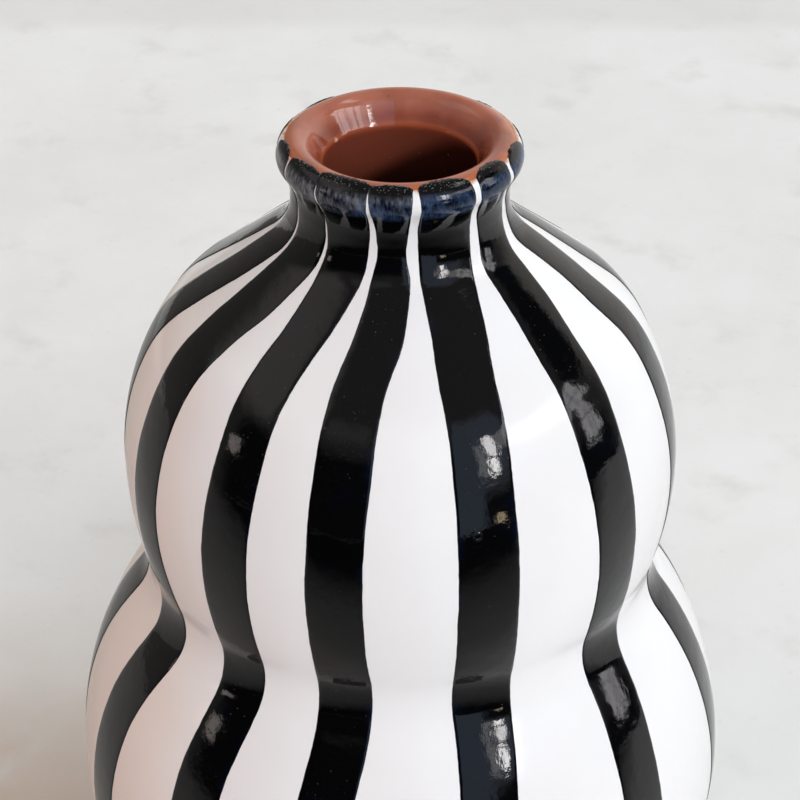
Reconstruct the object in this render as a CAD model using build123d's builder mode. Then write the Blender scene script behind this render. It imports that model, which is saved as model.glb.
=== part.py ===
from build123d import *
from typing import NamedTuple
import math
import os

# Gourd vase: two thrown bulbs and a collar of red clay, glazed white outside and clear inside,
# with black brush bands. Millimetres, +Z up. The origin is the middle of the foot, on the table,
# and the front of the vase looks along -Y. Clay sizes are without glaze.

# Foot and floor
foot_radius = 44.0
foot_height = 4.0
foot_ring_width = 7.0
foot_recess_depth = 2.5
foot_edge_radius = 0.9
floor_thickness = 6.5
floor_corner_radius = 9.0

# Wall of all three clay sections
wall = 5.5

# Lower bulb
lower_bulb_radius = 71.1
lower_bulb_height = 55.0
lower_shoulder_radius = 77.4

# Waist, a soft hollow between the bulbs
waist_depth = 3.5
waist_hollow_radius = 14.7
waist_lap = 4.0

# Upper bulb
upper_bulb_radius = 57.4
upper_belly_radius = 72.8
dome_radius = 59.2
dome_turn_angle = 28.2
shoulder_radius = 27.5
shoulder_slope_angle = 51.0
neck_sweep_radius = 11.3

# Neck, rolled rim and funnel of the mouth
neck_radius = 21.1
neck_straight_height = 1.4
neck_lap = 3.0
rim_roll_radius = 3.0
rim_roll_inset = 0.4
throat_edge_radius = 1.0
throat_drop = 2.5

# Glazes: the white coat and the clear coat are equally thick and meet on the outer top of the rim
glaze_thickness = 0.5
glaze_meeting_angle = 50.0
bare_foot_height = 3.0

# Black bands, one brush wide, laid on the white
band_thickness = 0.3
brush_width = 11.8
band_lean = 3.0
white_line_width = 1.0
band_foot_margin = 1.5
head_depth = 2.4
head_reach = 0.3
strip_angle = 100
band_azimuths = (-91, -63, -36.5, -12.5, 17.5, 48.5, 80, 107, 134, 160, 187, 215, 242)
band_width_shares = (1.0, 1.0, 0.97, 0.97, 1.06, 1.02, 1.0, 0.98, 1.03, 0.97, 1.02, 0.99, 1.01)

# One overrun for everything that cuts, and the distance under which two ends of a line are one point
overrun = 5.0
same_point = 0.001


class Bend(NamedTuple):
    """A round stretch of the outline. Its angles are those of the way out of the clay, from +X to +Z."""

    x: float
    z: float
    radius: float
    start: float
    end: float
    hollow: bool = False


def spot(bend, angle, skin=0):
    """Point of a bend where the way out of the clay has this angle, at a skin above the clay."""
    reach = skin - bend.radius if bend.hollow else skin + bend.radius
    turn = math.radians(angle)
    return (bend.x + reach * math.cos(turn), bend.z + reach * math.sin(turn))


def trace(bends, skin):
    """Draw a chain of bends at a skin above the clay, with a straight run where two of them don't meet."""
    last = spot(bends[0], bends[0].start, skin)
    for bend in bends:
        first = spot(bend, bend.start, skin)
        if math.dist(last, first) > same_point:
            Line(last, first)
        reach = bend.radius - skin if bend.hollow else bend.radius + skin
        opening_angle = bend.start + 180 if bend.hollow else bend.start
        CenterArc((bend.x, bend.z), reach, opening_angle, bend.end - bend.start)
        last = spot(bend, bend.end, skin)


def first_spot(bends, skin=0):
    return spot(bends[0], bends[0].start, skin)


def last_spot(bends, skin=0):
    return spot(bends[-1], bends[-1].end, skin)


def inside(bend):
    """The inner face of the wall behind a bend, drawn from the top down."""
    thickness = wall if bend.hollow else -wall
    return Bend(bend.x, bend.z, bend.radius + thickness, bend.end + 180, bend.start + 180, not bend.hollow)


# Outline of the outside, from the foot up. Every bend runs tangent into the next.
belly_drop = lower_bulb_height - foot_height
belly_tuck = lower_bulb_radius - foot_radius
belly_radius = (belly_drop**2 + belly_tuck**2) / (2 * belly_tuck)
belly_foot_angle = -math.degrees(math.asin(belly_drop / belly_radius))
belly = Bend(lower_bulb_radius - belly_radius, lower_bulb_height, belly_radius, belly_foot_angle, 0)

waist_radius = upper_bulb_radius - waist_depth
lower_reach = lower_shoulder_radius + waist_hollow_radius
lower_waist_angle = math.degrees(math.acos(1 - (lower_bulb_radius - waist_radius) / lower_reach))
waist_height = lower_bulb_height + lower_reach * math.sin(math.radians(lower_waist_angle))
lower_shoulder_x = lower_bulb_radius - lower_shoulder_radius
lower_shoulder = Bend(lower_shoulder_x, lower_bulb_height, lower_shoulder_radius, 0, lower_waist_angle)

upper_reach = upper_belly_radius + waist_hollow_radius
upper_waist_angle = math.degrees(math.acos(1 - waist_depth / upper_reach))
upper_bulb_height = waist_height + upper_reach * math.sin(math.radians(upper_waist_angle))
waist_x = waist_radius + waist_hollow_radius
waist_below = Bend(waist_x, waist_height, waist_hollow_radius, lower_waist_angle, 0, hollow=True)
waist_above = Bend(waist_x, waist_height, waist_hollow_radius, 0, -upper_waist_angle, hollow=True)
upper_belly_x = upper_bulb_radius - upper_belly_radius
upper_belly = Bend(upper_belly_x, upper_bulb_height, upper_belly_radius, -upper_waist_angle, 0)

dome = Bend(upper_bulb_radius - dome_radius, upper_bulb_height, dome_radius, 0, dome_turn_angle)
dome_end = spot(dome, dome_turn_angle)
shoulder_x = dome_end[0] - shoulder_radius * math.cos(math.radians(dome_turn_angle))
shoulder_z = dome_end[1] - shoulder_radius * math.sin(math.radians(dome_turn_angle))
shoulder = Bend(shoulder_x, shoulder_z, shoulder_radius, dome_turn_angle, shoulder_slope_angle)

# The shoulder's straight slope runs from its bend to the sweep of the neck
slope_turn = math.radians(shoulder_slope_angle)
slope_foot = spot(shoulder, shoulder_slope_angle)
sweep_foot_x = neck_radius + neck_sweep_radius * (1 - math.cos(slope_turn))
sweep_foot_z = slope_foot[1] + (slope_foot[0] - sweep_foot_x) / math.tan(slope_turn)
neck_height = sweep_foot_z + neck_sweep_radius * math.sin(slope_turn)
neck_x = neck_radius + neck_sweep_radius
neck_sweep = Bend(neck_x, neck_height, neck_sweep_radius, shoulder_slope_angle, 0, hollow=True)

flare_height = neck_height + neck_straight_height
rim_x = neck_radius - rim_roll_inset
flare_angle = math.degrees(math.acos((neck_x - rim_x) / (neck_sweep_radius + rim_roll_radius)))
rim_rise = (neck_sweep_radius + rim_roll_radius) * math.sin(math.radians(flare_angle))
rim_height = flare_height + rim_rise
flare = Bend(neck_x, flare_height, neck_sweep_radius, 0, -flare_angle, hollow=True)

# The funnel is the straight run that touches both the rolled rim and the round edge of the throat
throat_radius = neck_radius - wall
throat_x = throat_radius + throat_edge_radius
throat_height = rim_height - throat_drop
funnel_span = math.hypot(rim_x - throat_x, throat_drop)
funnel_lift = math.asin((rim_roll_radius - throat_edge_radius) / funnel_span)
funnel_slope_angle = math.degrees(math.atan2(throat_drop, rim_x - throat_x) + funnel_lift)
funnel_angle = funnel_slope_angle + 90
rim_outer = Bend(rim_x, rim_height, rim_roll_radius, -flare_angle, glaze_meeting_angle)
rim_crown = Bend(rim_x, rim_height, rim_roll_radius, glaze_meeting_angle, funnel_angle)
throat_edge = Bend(throat_x, throat_height, throat_edge_radius, funnel_angle, 180)

# Inside of the floor, with the round corner that a thrower's fingers leave
floor_level = foot_recess_depth + floor_thickness
corner_level = floor_level + floor_corner_radius
corner_reach = belly_radius - wall - floor_corner_radius
corner_x = belly.x + math.sqrt(corner_reach**2 - (lower_bulb_height - corner_level) ** 2)
corner_angle = math.degrees(math.atan2(corner_level - lower_bulb_height, corner_x - belly.x))
floor_corner = Bend(corner_x, corner_level, floor_corner_radius, corner_angle + 180, 90, hollow=True)
inner_belly = inside(belly)._replace(end=corner_angle + 180)

# Half-laps: the lower section keeps the inner half of the wall as an upstand
mid_wall = -wall / 2
lap_angle = math.degrees(math.asin(waist_lap / (waist_hollow_radius + wall / 2)))
lap_inner_angle = math.degrees(math.asin(waist_lap / (waist_hollow_radius + wall)))
lap_face = waist_above._replace(end=-lap_angle)
upstand_inner = inside(waist_above)._replace(start=180 - lap_inner_angle)
seat_inner = inside(waist_above)._replace(end=180 - lap_inner_angle)
neck_lap_x = neck_radius + mid_wall
neck_lap_height = neck_height + neck_lap

os.makedirs("parts", exist_ok=True)

# Lower bulb with floor and turned foot ring
lower_outer = [belly, lower_shoulder, waist_below]
lower_inner = [upstand_inner, inside(waist_below), inside(lower_shoulder), inner_belly, floor_corner]
with BuildPart() as lower_bulb:
    with BuildSketch(Plane.XZ):
        with BuildLine():
            trace(lower_outer, 0)
            Line(last_spot(lower_outer), spot(lap_face, 0, mid_wall))
            trace([lap_face], mid_wall)
            Line(last_spot([lap_face], mid_wall), first_spot(lower_inner))
            trace(lower_inner, 0)
            recess_radius = foot_radius - foot_ring_width
            Polyline(
                last_spot(lower_inner),
                (0, floor_level),
                (0, foot_recess_depth),
                (recess_radius, foot_recess_depth),
                (recess_radius, 0),
                (foot_radius, 0),
                (foot_radius, foot_height),
            )
        make_face()
    revolve(axis=Axis.Z)
    fillet(lower_bulb.edges().group_by(Axis.Z)[0], foot_edge_radius)
lower_bulb.part.label = "lower_bulb"
export_step(lower_bulb.part, "parts/lower_bulb.step")

# Upper bulb, seated on the lower one
upper_outer = [waist_above, upper_belly, dome, shoulder, neck_sweep]
upper_inner = [inside(neck_sweep), inside(shoulder), inside(dome), inside(upper_belly), seat_inner]
with BuildPart() as upper_bulb:
    with BuildSketch(Plane.XZ):
        with BuildLine():
            trace(upper_outer, 0)
            Polyline(
                last_spot(upper_outer),
                (neck_lap_x, neck_height),
                (neck_lap_x, neck_lap_height),
                (throat_radius, neck_lap_height),
                first_spot(upper_inner),
            )
            trace(upper_inner, 0)
            Line(last_spot(upper_inner), last_spot([lap_face], mid_wall))
            trace([lap_face], mid_wall)
            Line(spot(lap_face, 0, mid_wall), first_spot(upper_outer))
        make_face()
    revolve(axis=Axis.Z)
upper_bulb.part.label = "upper_bulb"
export_step(upper_bulb.part, "parts/upper_bulb.step")

# Neck collar with the rolled rim and the funnel of the mouth
collar_face = [flare, rim_outer, rim_crown, throat_edge]
with BuildPart() as neck_collar:
    with BuildSketch(Plane.XZ):
        with BuildLine():
            trace(collar_face, 0)
            Polyline(
                last_spot(collar_face),
                (throat_radius, neck_lap_height),
                (neck_lap_x, neck_lap_height),
                (neck_lap_x, neck_height),
                (neck_radius, neck_height),
                first_spot(collar_face),
            )
        make_face()
    revolve(axis=Axis.Z)
neck_collar.part.label = "neck_collar"
export_step(neck_collar.part, "parts/neck_collar.step")

# Clear glaze on everything inside, over the throat and up to the white on the rim
lined_walls = [inside(neck_sweep), inside(shoulder), inside(dome), inside(upper_belly)]
lined_walls += [inside(waist_above), inside(waist_below), inside(lower_shoulder), inner_belly, floor_corner]
lined = [rim_crown, throat_edge] + lined_walls
with BuildPart() as inner_glaze:
    with BuildSketch(Plane.XZ):
        with BuildLine():
            trace(lined, 0)
            trace(lined, glaze_thickness)
            Line(first_spot(lined), first_spot(lined, glaze_thickness))
            Polyline(
                last_spot(lined),
                (0, floor_level),
                (0, floor_level + glaze_thickness),
                last_spot(lined, glaze_thickness),
            )
        make_face()
    revolve(axis=Axis.Z)
inner_glaze.part.label = "inner_glaze"
export_step(inner_glaze.part, "parts/inner_glaze.step")


def coat_outline(lower_edge):
    """Bends of the outside from a height above the foot to the rim's outer top."""
    edge_angle = -math.degrees(math.asin((lower_bulb_height - lower_edge) / belly_radius))
    coated = [belly._replace(start=edge_angle), lower_shoulder, waist_below, waist_above, upper_belly]
    return coated + [dome, shoulder, neck_sweep, flare, rim_outer]


def trace_coat(bends, under, over):
    """Draw the closed section of a coat between two skins above the clay."""
    trace(bends, under)
    trace(bends, over)
    Line(first_spot(bends, under), first_spot(bends, over))
    Line(last_spot(bends, under), last_spot(bends, over))


# White glaze on the outside, wiped off the foot
white_edge_height = foot_height + bare_foot_height
with BuildPart() as white_glaze:
    with BuildSketch(Plane.XZ):
        with BuildLine():
            trace_coat(coat_outline(white_edge_height), 0, glaze_thickness)
        make_face()
    revolve(axis=Axis.Z)
white_glaze.part.label = "white_glaze"
export_step(white_glaze.part, "parts/white_glaze.step")

# Stations of a band from the foot up: their places on the outline, the band's share of the brush's
# width there, and its share of the lean that it has at the neck. At the neck the bands crowd
# together and only a white line stays between them.
band_skin = glaze_thickness + band_thickness
station_places = (
    first_spot([belly]),
    last_spot([belly]),
    last_spot([waist_below]),
    last_spot([upper_belly]),
    last_spot([dome]),
    ((slope_foot[0] + sweep_foot_x) / 2, (slope_foot[1] + sweep_foot_z) / 2),
    first_spot([neck_sweep]),
    last_spot([neck_sweep]),
    (rim_x + rim_roll_radius, rim_height),
)
station_width_shares = (0.82, 1.02, 0.95, 1.02, 0.95, 0.93, 0.93, 1.0, 1.1)
station_lean_shares = (0, 0, 0, 0, 0, 0.65, 1, 1, 1)


def band_edge(side, width_share, pitch):
    """Points of one edge of a band, seen square on: side is -1 on the left and 1 on the right."""
    points = []
    stations = zip(station_places, station_width_shares, station_lean_shares)
    for (radius, height), station_share, lean_share in stations:
        half_width = brush_width * width_share * station_share / 2
        room = (radius + band_skin) * math.sin(math.radians(pitch / 2)) - white_line_width / 2
        points.append((band_lean * lean_share + side * min(half_width, room), height))
    top_height = rim_height + rim_roll_radius + band_skin + overrun
    return [(points[0][0], -overrun)] + points + [(points[-1][0], top_height)]


def azimuth_plane(azimuth, height=0):
    """Level plane whose local -Y points out of the vase at an azimuth, from the front to the right."""
    turn = math.radians(azimuth)
    return Plane(origin=(0, 0, height), x_dir=(math.cos(turn), math.sin(turn), 0), z_dir=(0, 0, 1))


def facing_plane(azimuth):
    """Upright plane through the axis that faces out of the vase at an azimuth."""
    turn = math.radians(azimuth)
    out = (math.sin(turn), -math.cos(turn), 0)
    return Plane(origin=(0, 0, 0), x_dir=(math.cos(turn), math.sin(turn), 0), z_dir=out)


# Black bands: a strip of the black coat, cut to the brush's edges and rounded off at the rim.
# The coat runs past the crown of the rim, so that the round head ends it.
band_coat = coat_outline(white_edge_height + band_foot_margin)
band_coat[-1] = rim_outer._replace(end=funnel_angle)
head_line = rim_x + head_reach + head_depth
count = len(band_azimuths)
for number in range(count):
    azimuth = band_azimuths[number]
    left_pitch = (azimuth - band_azimuths[number - 1]) % 360
    right_pitch = (band_azimuths[(number + 1) % count] - azimuth) % 360
    head_azimuth = azimuth + math.degrees(math.asin(band_lean / head_line)) + (right_pitch - left_pitch) / 4
    head_half_width = head_line * math.sin(math.radians((left_pitch + right_pitch) / 4))
    left_edge = band_edge(-1, band_width_shares[number], left_pitch)
    right_edge = band_edge(1, band_width_shares[number], right_pitch)
    with BuildPart() as black_band:
        with BuildSketch(Plane.XZ.rotated((0, 0, azimuth - 90 - strip_angle / 2))):
            with BuildLine():
                trace_coat(band_coat, glaze_thickness, band_skin)
            make_face()
        revolve(axis=Axis.Z, revolution_arc=strip_angle)
        with BuildSketch(facing_plane(azimuth)):
            with BuildLine():
                Spline(left_edge)
                Spline(right_edge)
                Line(left_edge[0], right_edge[0])
                Line(left_edge[-1], right_edge[-1])
            make_face()
        extrude(amount=lower_bulb_radius + overrun, mode=Mode.INTERSECT)
        with BuildSketch(azimuth_plane(head_azimuth, rim_height)):
            with Locations((0, -head_line / 2)):
                Rectangle(2 * head_line, head_line)
            with Locations((0, -head_line)):
                Ellipse(head_half_width, head_depth, mode=Mode.SUBTRACT)
        extrude(amount=rim_roll_radius + overrun, mode=Mode.SUBTRACT)
    name = f"black_band_{number + 1:02d}"
    black_band.part.label = name
    export_step(black_band.part, f"parts/{name}.step")
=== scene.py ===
import math
import bpy
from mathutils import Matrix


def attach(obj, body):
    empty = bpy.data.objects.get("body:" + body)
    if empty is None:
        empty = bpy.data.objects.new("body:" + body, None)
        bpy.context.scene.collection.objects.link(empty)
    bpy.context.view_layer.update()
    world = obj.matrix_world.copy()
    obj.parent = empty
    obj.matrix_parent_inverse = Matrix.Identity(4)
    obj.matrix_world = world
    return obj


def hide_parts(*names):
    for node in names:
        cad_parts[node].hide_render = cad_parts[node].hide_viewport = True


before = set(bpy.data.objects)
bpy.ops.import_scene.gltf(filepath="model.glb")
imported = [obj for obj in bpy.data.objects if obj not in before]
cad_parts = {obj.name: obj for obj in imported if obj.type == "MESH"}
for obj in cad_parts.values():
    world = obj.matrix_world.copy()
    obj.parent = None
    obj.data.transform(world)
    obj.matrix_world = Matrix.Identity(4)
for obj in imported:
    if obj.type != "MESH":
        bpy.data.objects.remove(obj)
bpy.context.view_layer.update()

# The body: red earthenware thrown on the wheel as two bulbs and a collar, luted together at the
# waist and the neck. Its outline is a chain of tangent bends, which every glaze then follows.
mm = 0.001
foot_radius = 44.0 * mm
foot_height = 4.0 * mm
foot_recess_depth = 2.5 * mm
floor_thickness = 6.5 * mm
floor_corner = 9.0 * mm
wall = 5.5 * mm
lower_bulb_radius = 71.1 * mm
lower_bulb_height = 55.0 * mm
lower_shoulder = 77.4 * mm
waist_radius = 53.9 * mm
waist_hollow = 14.7 * mm
upper_bulb_radius = 57.4 * mm
upper_belly = 72.8 * mm
dome = 59.2 * mm
dome_angle = 28.2
shoulder = 27.5 * mm
slope_angle = 51.0
neck_radius = 21.1 * mm
neck_sweep = 11.3 * mm
neck_straight = 1.4 * mm
roll = 3.0 * mm
roll_inset = 0.4 * mm
throat_edge = 1.0 * mm
throat_drop = 2.5 * mm
outline_spacing = 0.7 * mm
mouth_spacing = 0.25 * mm


def sine(angle):
    return math.sin(math.radians(angle))


def cosine(angle):
    return math.cos(math.radians(angle))


def follow(start, angle, steps, spacing=outline_spacing):
    """Points (radius, height, angle of the way out) along bends and straight runs, each tangent to the next.

    A bend is (radius, end angle), with a negative radius where it is hollow. A run is (None, length)."""
    radius, height = start
    points = [(radius, height, angle)]
    for bend, end in steps:
        if bend is None:
            count = max(1, round(end / spacing))
            for k in range(1, count + 1):
                run = end * k / count
                points.append((radius - run * sine(angle), height + run * cosine(angle), angle))
        else:
            count = max(3, round(abs(bend * math.radians(end - angle)) / spacing))
            for k in range(1, count + 1):
                turned = angle + (end - angle) * k / count
                x = radius + bend * (cosine(turned) - cosine(angle))
                z = height + bend * (sine(turned) - sine(angle))
                points.append((x, z, turned))
            angle = end
        radius, height = points[-1][:2]
    return points


def lifted(points, skin):
    """The points moved out of the clay by a glaze's skin, which may differ from point to point."""
    skins = skin if isinstance(skin, list) else [skin] * len(points)
    return [(r + s * cosine(a), z + s * sine(a), a) for (r, z, a), s in zip(points, skins)]


belly_drop = lower_bulb_height - foot_height
belly_tuck = lower_bulb_radius - foot_radius
belly = (belly_drop**2 + belly_tuck**2) / (2 * belly_tuck)
belly_angle = -math.degrees(math.asin(belly_drop / belly))
waist_tuck = (lower_bulb_radius - waist_radius) / (lower_shoulder + waist_hollow)
waist_angle = math.degrees(math.acos(1 - waist_tuck))
waist_lift = (upper_bulb_radius - waist_radius) / (upper_belly + waist_hollow)
lift_angle = math.degrees(math.acos(1 - waist_lift))
flare_angle = math.degrees(math.acos((neck_sweep + roll_inset) / (neck_sweep + roll)))
body_steps = [
    (belly, 0),
    (lower_shoulder, waist_angle),
    (-waist_hollow, -lift_angle),
    (upper_belly, 0),
    (dome, dome_angle),
    (shoulder, slope_angle),
]
foot_start = (foot_radius, foot_height)
slope_top = follow(foot_start, belly_angle, body_steps)[-1]
slope_run = (slope_top[0] - neck_radius - neck_sweep * (1 - cosine(slope_angle))) / sine(slope_angle)
neck_steps = [(None, slope_run), (-neck_sweep, 0), (None, neck_straight), (-neck_sweep, -flare_angle)]
funnel_width = wall - roll_inset - throat_edge
funnel_span = math.hypot(funnel_width, throat_drop)
funnel_lift = math.asin((roll - throat_edge) / funnel_span)
funnel_angle = 90 + math.degrees(math.atan2(throat_drop, funnel_width) + funnel_lift)
funnel_run = funnel_span * math.cos(funnel_lift)
mouth_steps = [(roll, funnel_angle), (None, funnel_run), (throat_edge, 180)]
outside = follow(foot_start, belly_angle, body_steps + neck_steps)
rim_start = outside[-1]
mouth = follow(rim_start[:2], rim_start[2], mouth_steps, mouth_spacing)
outline = outside + mouth[1:]

# Everything thrown by hand is a little out of round, with faint rings left by the fingers. The
# glazes and the bands share this unevenness, because they lie on the same wall.
out_of_round = 0.5 * mm
finger_rings = 0.05 * mm


def put(tree, kind, plugs=None, **settings):
    """Add a node, set its properties and fill its inputs, each from a value or from another node's output."""
    node = tree.nodes.new(kind)
    for name, value in settings.items():
        setattr(node, name, value)
    for name, value in (plugs or {}).items():
        if isinstance(value, bpy.types.NodeSocket):
            tree.links.new(value, node.inputs[name])
        else:
            node.inputs[name].default_value = value
    return node


def reckon(tree, operation, *terms):
    """One step of arithmetic on numbers in a node tree."""
    return put(tree, "ShaderNodeMath", dict(enumerate(terms)), operation=operation).outputs[0]


def pair(tree, operation, first, second, output=0):
    """One step of arithmetic on two vectors in a node tree."""
    return put(tree, "ShaderNodeVectorMath", {0: first, 1: second}, operation=operation).outputs[output]


def noise(tree, place, scale, detail=2.0, seed=0.0, roughness=0.5):
    """Seeded noise about zero, from about -0.5 to 0.5."""
    plugs = {"Vector": place, "W": seed, "Scale": scale, "Detail": detail, "Roughness": roughness}
    node = put(tree, "ShaderNodeTexNoise", plugs, noise_dimensions="4D")
    return reckon(tree, "SUBTRACT", node.outputs[0], 0.5)


potters_hand = bpy.data.node_groups.new("potters_hand", "GeometryNodeTree")
potters_hand.interface.new_socket("Place", in_out="INPUT", socket_type="NodeSocketVector")
potters_hand.interface.new_socket("Place", in_out="OUTPUT", socket_type="NodeSocketVector")
place = potters_hand.nodes.new("NodeGroupInput").outputs[0]
stretched = pair(potters_hand, "MULTIPLY", place, (5, 5, 150))
lobes = reckon(potters_hand, "MULTIPLY", noise(potters_hand, place, 16, 1), out_of_round)
rings = reckon(potters_hand, "MULTIPLY", noise(potters_hand, stretched, 1, 2, 3), finger_rings)
push = reckon(potters_hand, "ADD", lobes, rings)
level = pair(potters_hand, "MULTIPLY", place, (1, 1, 0))
outward = put(potters_hand, "ShaderNodeVectorMath", {0: level}, operation="NORMALIZE").outputs[0]
moved = put(potters_hand, "ShaderNodeVectorMath", {0: outward, "Scale": push}, operation="SCALE").outputs[0]
potters_end = potters_hand.nodes.new("NodeGroupOutput").inputs[0]
potters_hand.links.new(pair(potters_hand, "ADD", place, moved), potters_end)

# A turned surface: the closed section that the tree is given, swung once round the axis. Where
# the section is marked to drift, its edge wanders to and fro as a dipped or wiped glaze line does.
wheel_segments = 192
seam_gap = 0.002 * mm


def geometry_tree(name, sockets):
    """A Geometry Nodes tree with a geometry in and out and its named inputs."""
    tree = bpy.data.node_groups.new(name, "GeometryNodeTree")
    tree.interface.new_socket("Geometry", in_out="INPUT", socket_type="NodeSocketGeometry")
    for label, kind in sockets:
        tree.interface.new_socket(label, in_out="INPUT", socket_type="NodeSocket" + kind)
    tree.interface.new_socket("Geometry", in_out="OUTPUT", socket_type="NodeSocketGeometry")
    return tree, tree.nodes.new("NodeGroupInput").outputs, tree.nodes.new("NodeGroupOutput").inputs


def made_by(tree, name, points, attributes, **values):
    """Run a tree on a line of points with attributes, and return the result as a plain mesh object."""
    line = bpy.data.meshes.new(name)
    line.from_pydata(points, [(k, k + 1) for k in range(len(points) - 1)], [])
    for label, kind, numbers in attributes:
        store = line.attributes.new(label, kind, "POINT")
        store.data.foreach_set("vector" if kind == "FLOAT_VECTOR" else "value", numbers)
    piece = bpy.data.objects.new(name, line)
    bpy.context.scene.collection.objects.link(piece)
    maker = piece.modifiers.new("maker", "NODES")
    maker.node_group = tree
    for socket in tree.interface.items_tree:
        if socket.in_out == "INPUT" and socket.name in values:
            maker[socket.identifier] = values[socket.name]
    bpy.context.view_layer.update()
    finished = piece.evaluated_get(bpy.context.evaluated_depsgraph_get())
    plain = bpy.data.meshes.new_from_object(finished)
    piece.modifiers.remove(maker)
    piece.data = plain
    bpy.data.meshes.remove(line)
    return piece


def swing(tree, radius, turn, height):
    """A point at a radius and a height, swung round the axis from the front and moved by the hand."""
    x = reckon(tree, "MULTIPLY", radius, reckon(tree, "SINE", turn))
    y = reckon(tree, "MULTIPLY", radius, reckon(tree, "MULTIPLY", reckon(tree, "COSINE", turn), -1.0))
    spot = put(tree, "ShaderNodeCombineXYZ", {"X": x, "Y": y, "Z": height}).outputs[0]
    return put(tree, "GeometryNodeGroup", {0: spot}, node_tree=potters_hand).outputs[0]


def finish_surface(tree, grid, place, material, attributes, end):
    """Place a grid's points, close its seams, smooth it and give it its material."""
    for name, kind, value in attributes:
        plugs = {"Geometry": grid, "Name": name, "Value": value}
        grid = put(tree, "GeometryNodeStoreNamedAttribute", plugs, data_type=kind, domain="POINT").outputs[0]
    grid = put(tree, "GeometryNodeSetPosition", {"Geometry": grid, "Position": place}).outputs[0]
    grid = put(tree, "GeometryNodeMergeByDistance", {"Geometry": grid, "Distance": seam_gap}).outputs[0]
    grid = put(tree, "GeometryNodeSetShadeSmooth", {"Geometry": grid}).outputs[0]
    grid = put(tree, "GeometryNodeRealizeInstances", {"Geometry": grid}).outputs[0]
    grid = put(tree, "GeometryNodeSetMaterial", {"Geometry": grid, "Material": material}).outputs[0]
    tree.links.new(grid, end)


turned, given, end = geometry_tree(
    "turned_on_the_wheel",
    [("Segments", "Int"), ("Waver", "Float"), ("Tilt", "Float"), ("Seed", "Float"), ("Material", "Material")],
)
size_of = put(turned, "GeometryNodeAttributeDomainSize", {"Geometry": given["Geometry"]}, component="MESH")
rows = size_of.outputs["Point Count"]
row_points = reckon(turned, "ADD", rows, 1.0)
column_points = reckon(turned, "ADD", given["Segments"], 1.0)
grid_plugs = {"Vertices X": column_points, "Vertices Y": row_points}
wheel_grid = put(turned, "GeometryNodeMeshGrid", grid_plugs).outputs["Mesh"]
index = turned.nodes.new("GeometryNodeInputIndex").outputs[0]
row = reckon(turned, "MODULO", reckon(turned, "MODULO", index, row_points), rows)
column = reckon(turned, "FLOOR", reckon(turned, "DIVIDE", reckon(turned, "ADD", index, 0.5), row_points))
turn = reckon(turned, "MULTIPLY", reckon(turned, "DIVIDE", column, given["Segments"]), 2 * math.pi)


def sample_row(value, kind):
    """A value of the section's point that this row of the grid stands for."""
    plugs = {"Geometry": given["Geometry"], "Value": value, "Index": row}
    return put(turned, "GeometryNodeSampleIndex", plugs, data_type=kind, domain="POINT").outputs[0]


def stored(tree, name, kind):
    """A value that the line of points carries by name."""
    return put(tree, "GeometryNodeInputNamedAttribute", {"Name": name}, data_type=kind).outputs[0]


section_point = sample_row(turned.nodes.new("GeometryNodeInputPosition").outputs[0], "FLOAT_VECTOR")
drift = sample_row(stored(turned, "drift", "FLOAT_VECTOR"), "FLOAT_VECTOR")
thin = sample_row(stored(turned, "thin", "FLOAT"), "FLOAT")
circle = put(
    turned, "ShaderNodeCombineXYZ", {"X": reckon(turned, "SINE", turn), "Y": reckon(turned, "COSINE", turn)}
).outputs[0]
wander = reckon(turned, "MULTIPLY", noise(turned, circle, 2.5, 3, given["Seed"]), given["Waver"])
slant = reckon(turned, "MULTIPLY", reckon(turned, "COSINE", turn), given["Tilt"])
wander = reckon(turned, "ADD", wander, slant)
shifted = put(turned, "ShaderNodeVectorMath", {0: drift, "Scale": wander}, operation="SCALE").outputs[0]
ring_point = put(turned, "ShaderNodeSeparateXYZ", {0: pair(turned, "ADD", section_point, shifted)}).outputs
wall_place = swing(turned, ring_point["X"], turn, ring_point["Z"])
finish_surface(turned, wheel_grid, wall_place, given["Material"], [("thin", "FLOAT", thin)], end["Geometry"])


def turn_on_wheel(name, front, back, material, waver=0.0, tilt=0.0, seed=0.0, drifts=None, thins=None):
    """A closed piece between a front line of points and the back line under it, which has fewer points."""
    back = back[:-1][::3] + back[-1:]
    loop = front + back[::-1]
    spare = len(back)
    drifts = (drifts or [0.0] * len(front)) + [0.0] * spare
    thins = (thins or [0.0] * len(front)) + [0.0] * spare
    points = [(r, 0.0, z) for r, z, _ in loop]
    pull = [v for (_, _, a), share in zip(loop, drifts) for v in (-sine(a) * share, 0.0, cosine(a) * share)]
    attributes = [("drift", "FLOAT_VECTOR", pull), ("thin", "FLOAT", thins)]
    values = {"Segments": wheel_segments, "Waver": waver, "Tilt": tilt, "Seed": seed, "Material": material}
    return made_by(turned, name, points, attributes, **values)


# Clay sections: the lower bulb, the upper bulb and the neck collar, thrown in one red earthenware and
# luted together. The foot that no glaze covers is matt, with its grog and the lines of the turning tool.
clay_nodes = ("lower_bulb", "upper_bulb", "neck_collar")
grog_depth = 0.08 * mm
turning_depth = 0.12 * mm


def new_finish(name, **settings):
    """A material with one shader, whose even values are set on its own sockets."""
    material = bpy.data.materials.new(name)
    material.use_nodes = True
    shader = material.node_tree.nodes["Principled BSDF"]
    for label, value in settings.items():
        shader.inputs[label.replace("_", " ")].default_value = value
    return material, material.node_tree, shader.inputs


def spread(tree, value, low, high, start=0.0, stop=1.0):
    """A value stretched smoothly from one range to another, and held at its ends."""
    plugs = {"Value": value, "From Min": low, "From Max": high, "To Min": start, "To Max": stop}
    return put(tree, "ShaderNodeMapRange", plugs, interpolation_type="SMOOTHSTEP").outputs[0]


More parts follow.
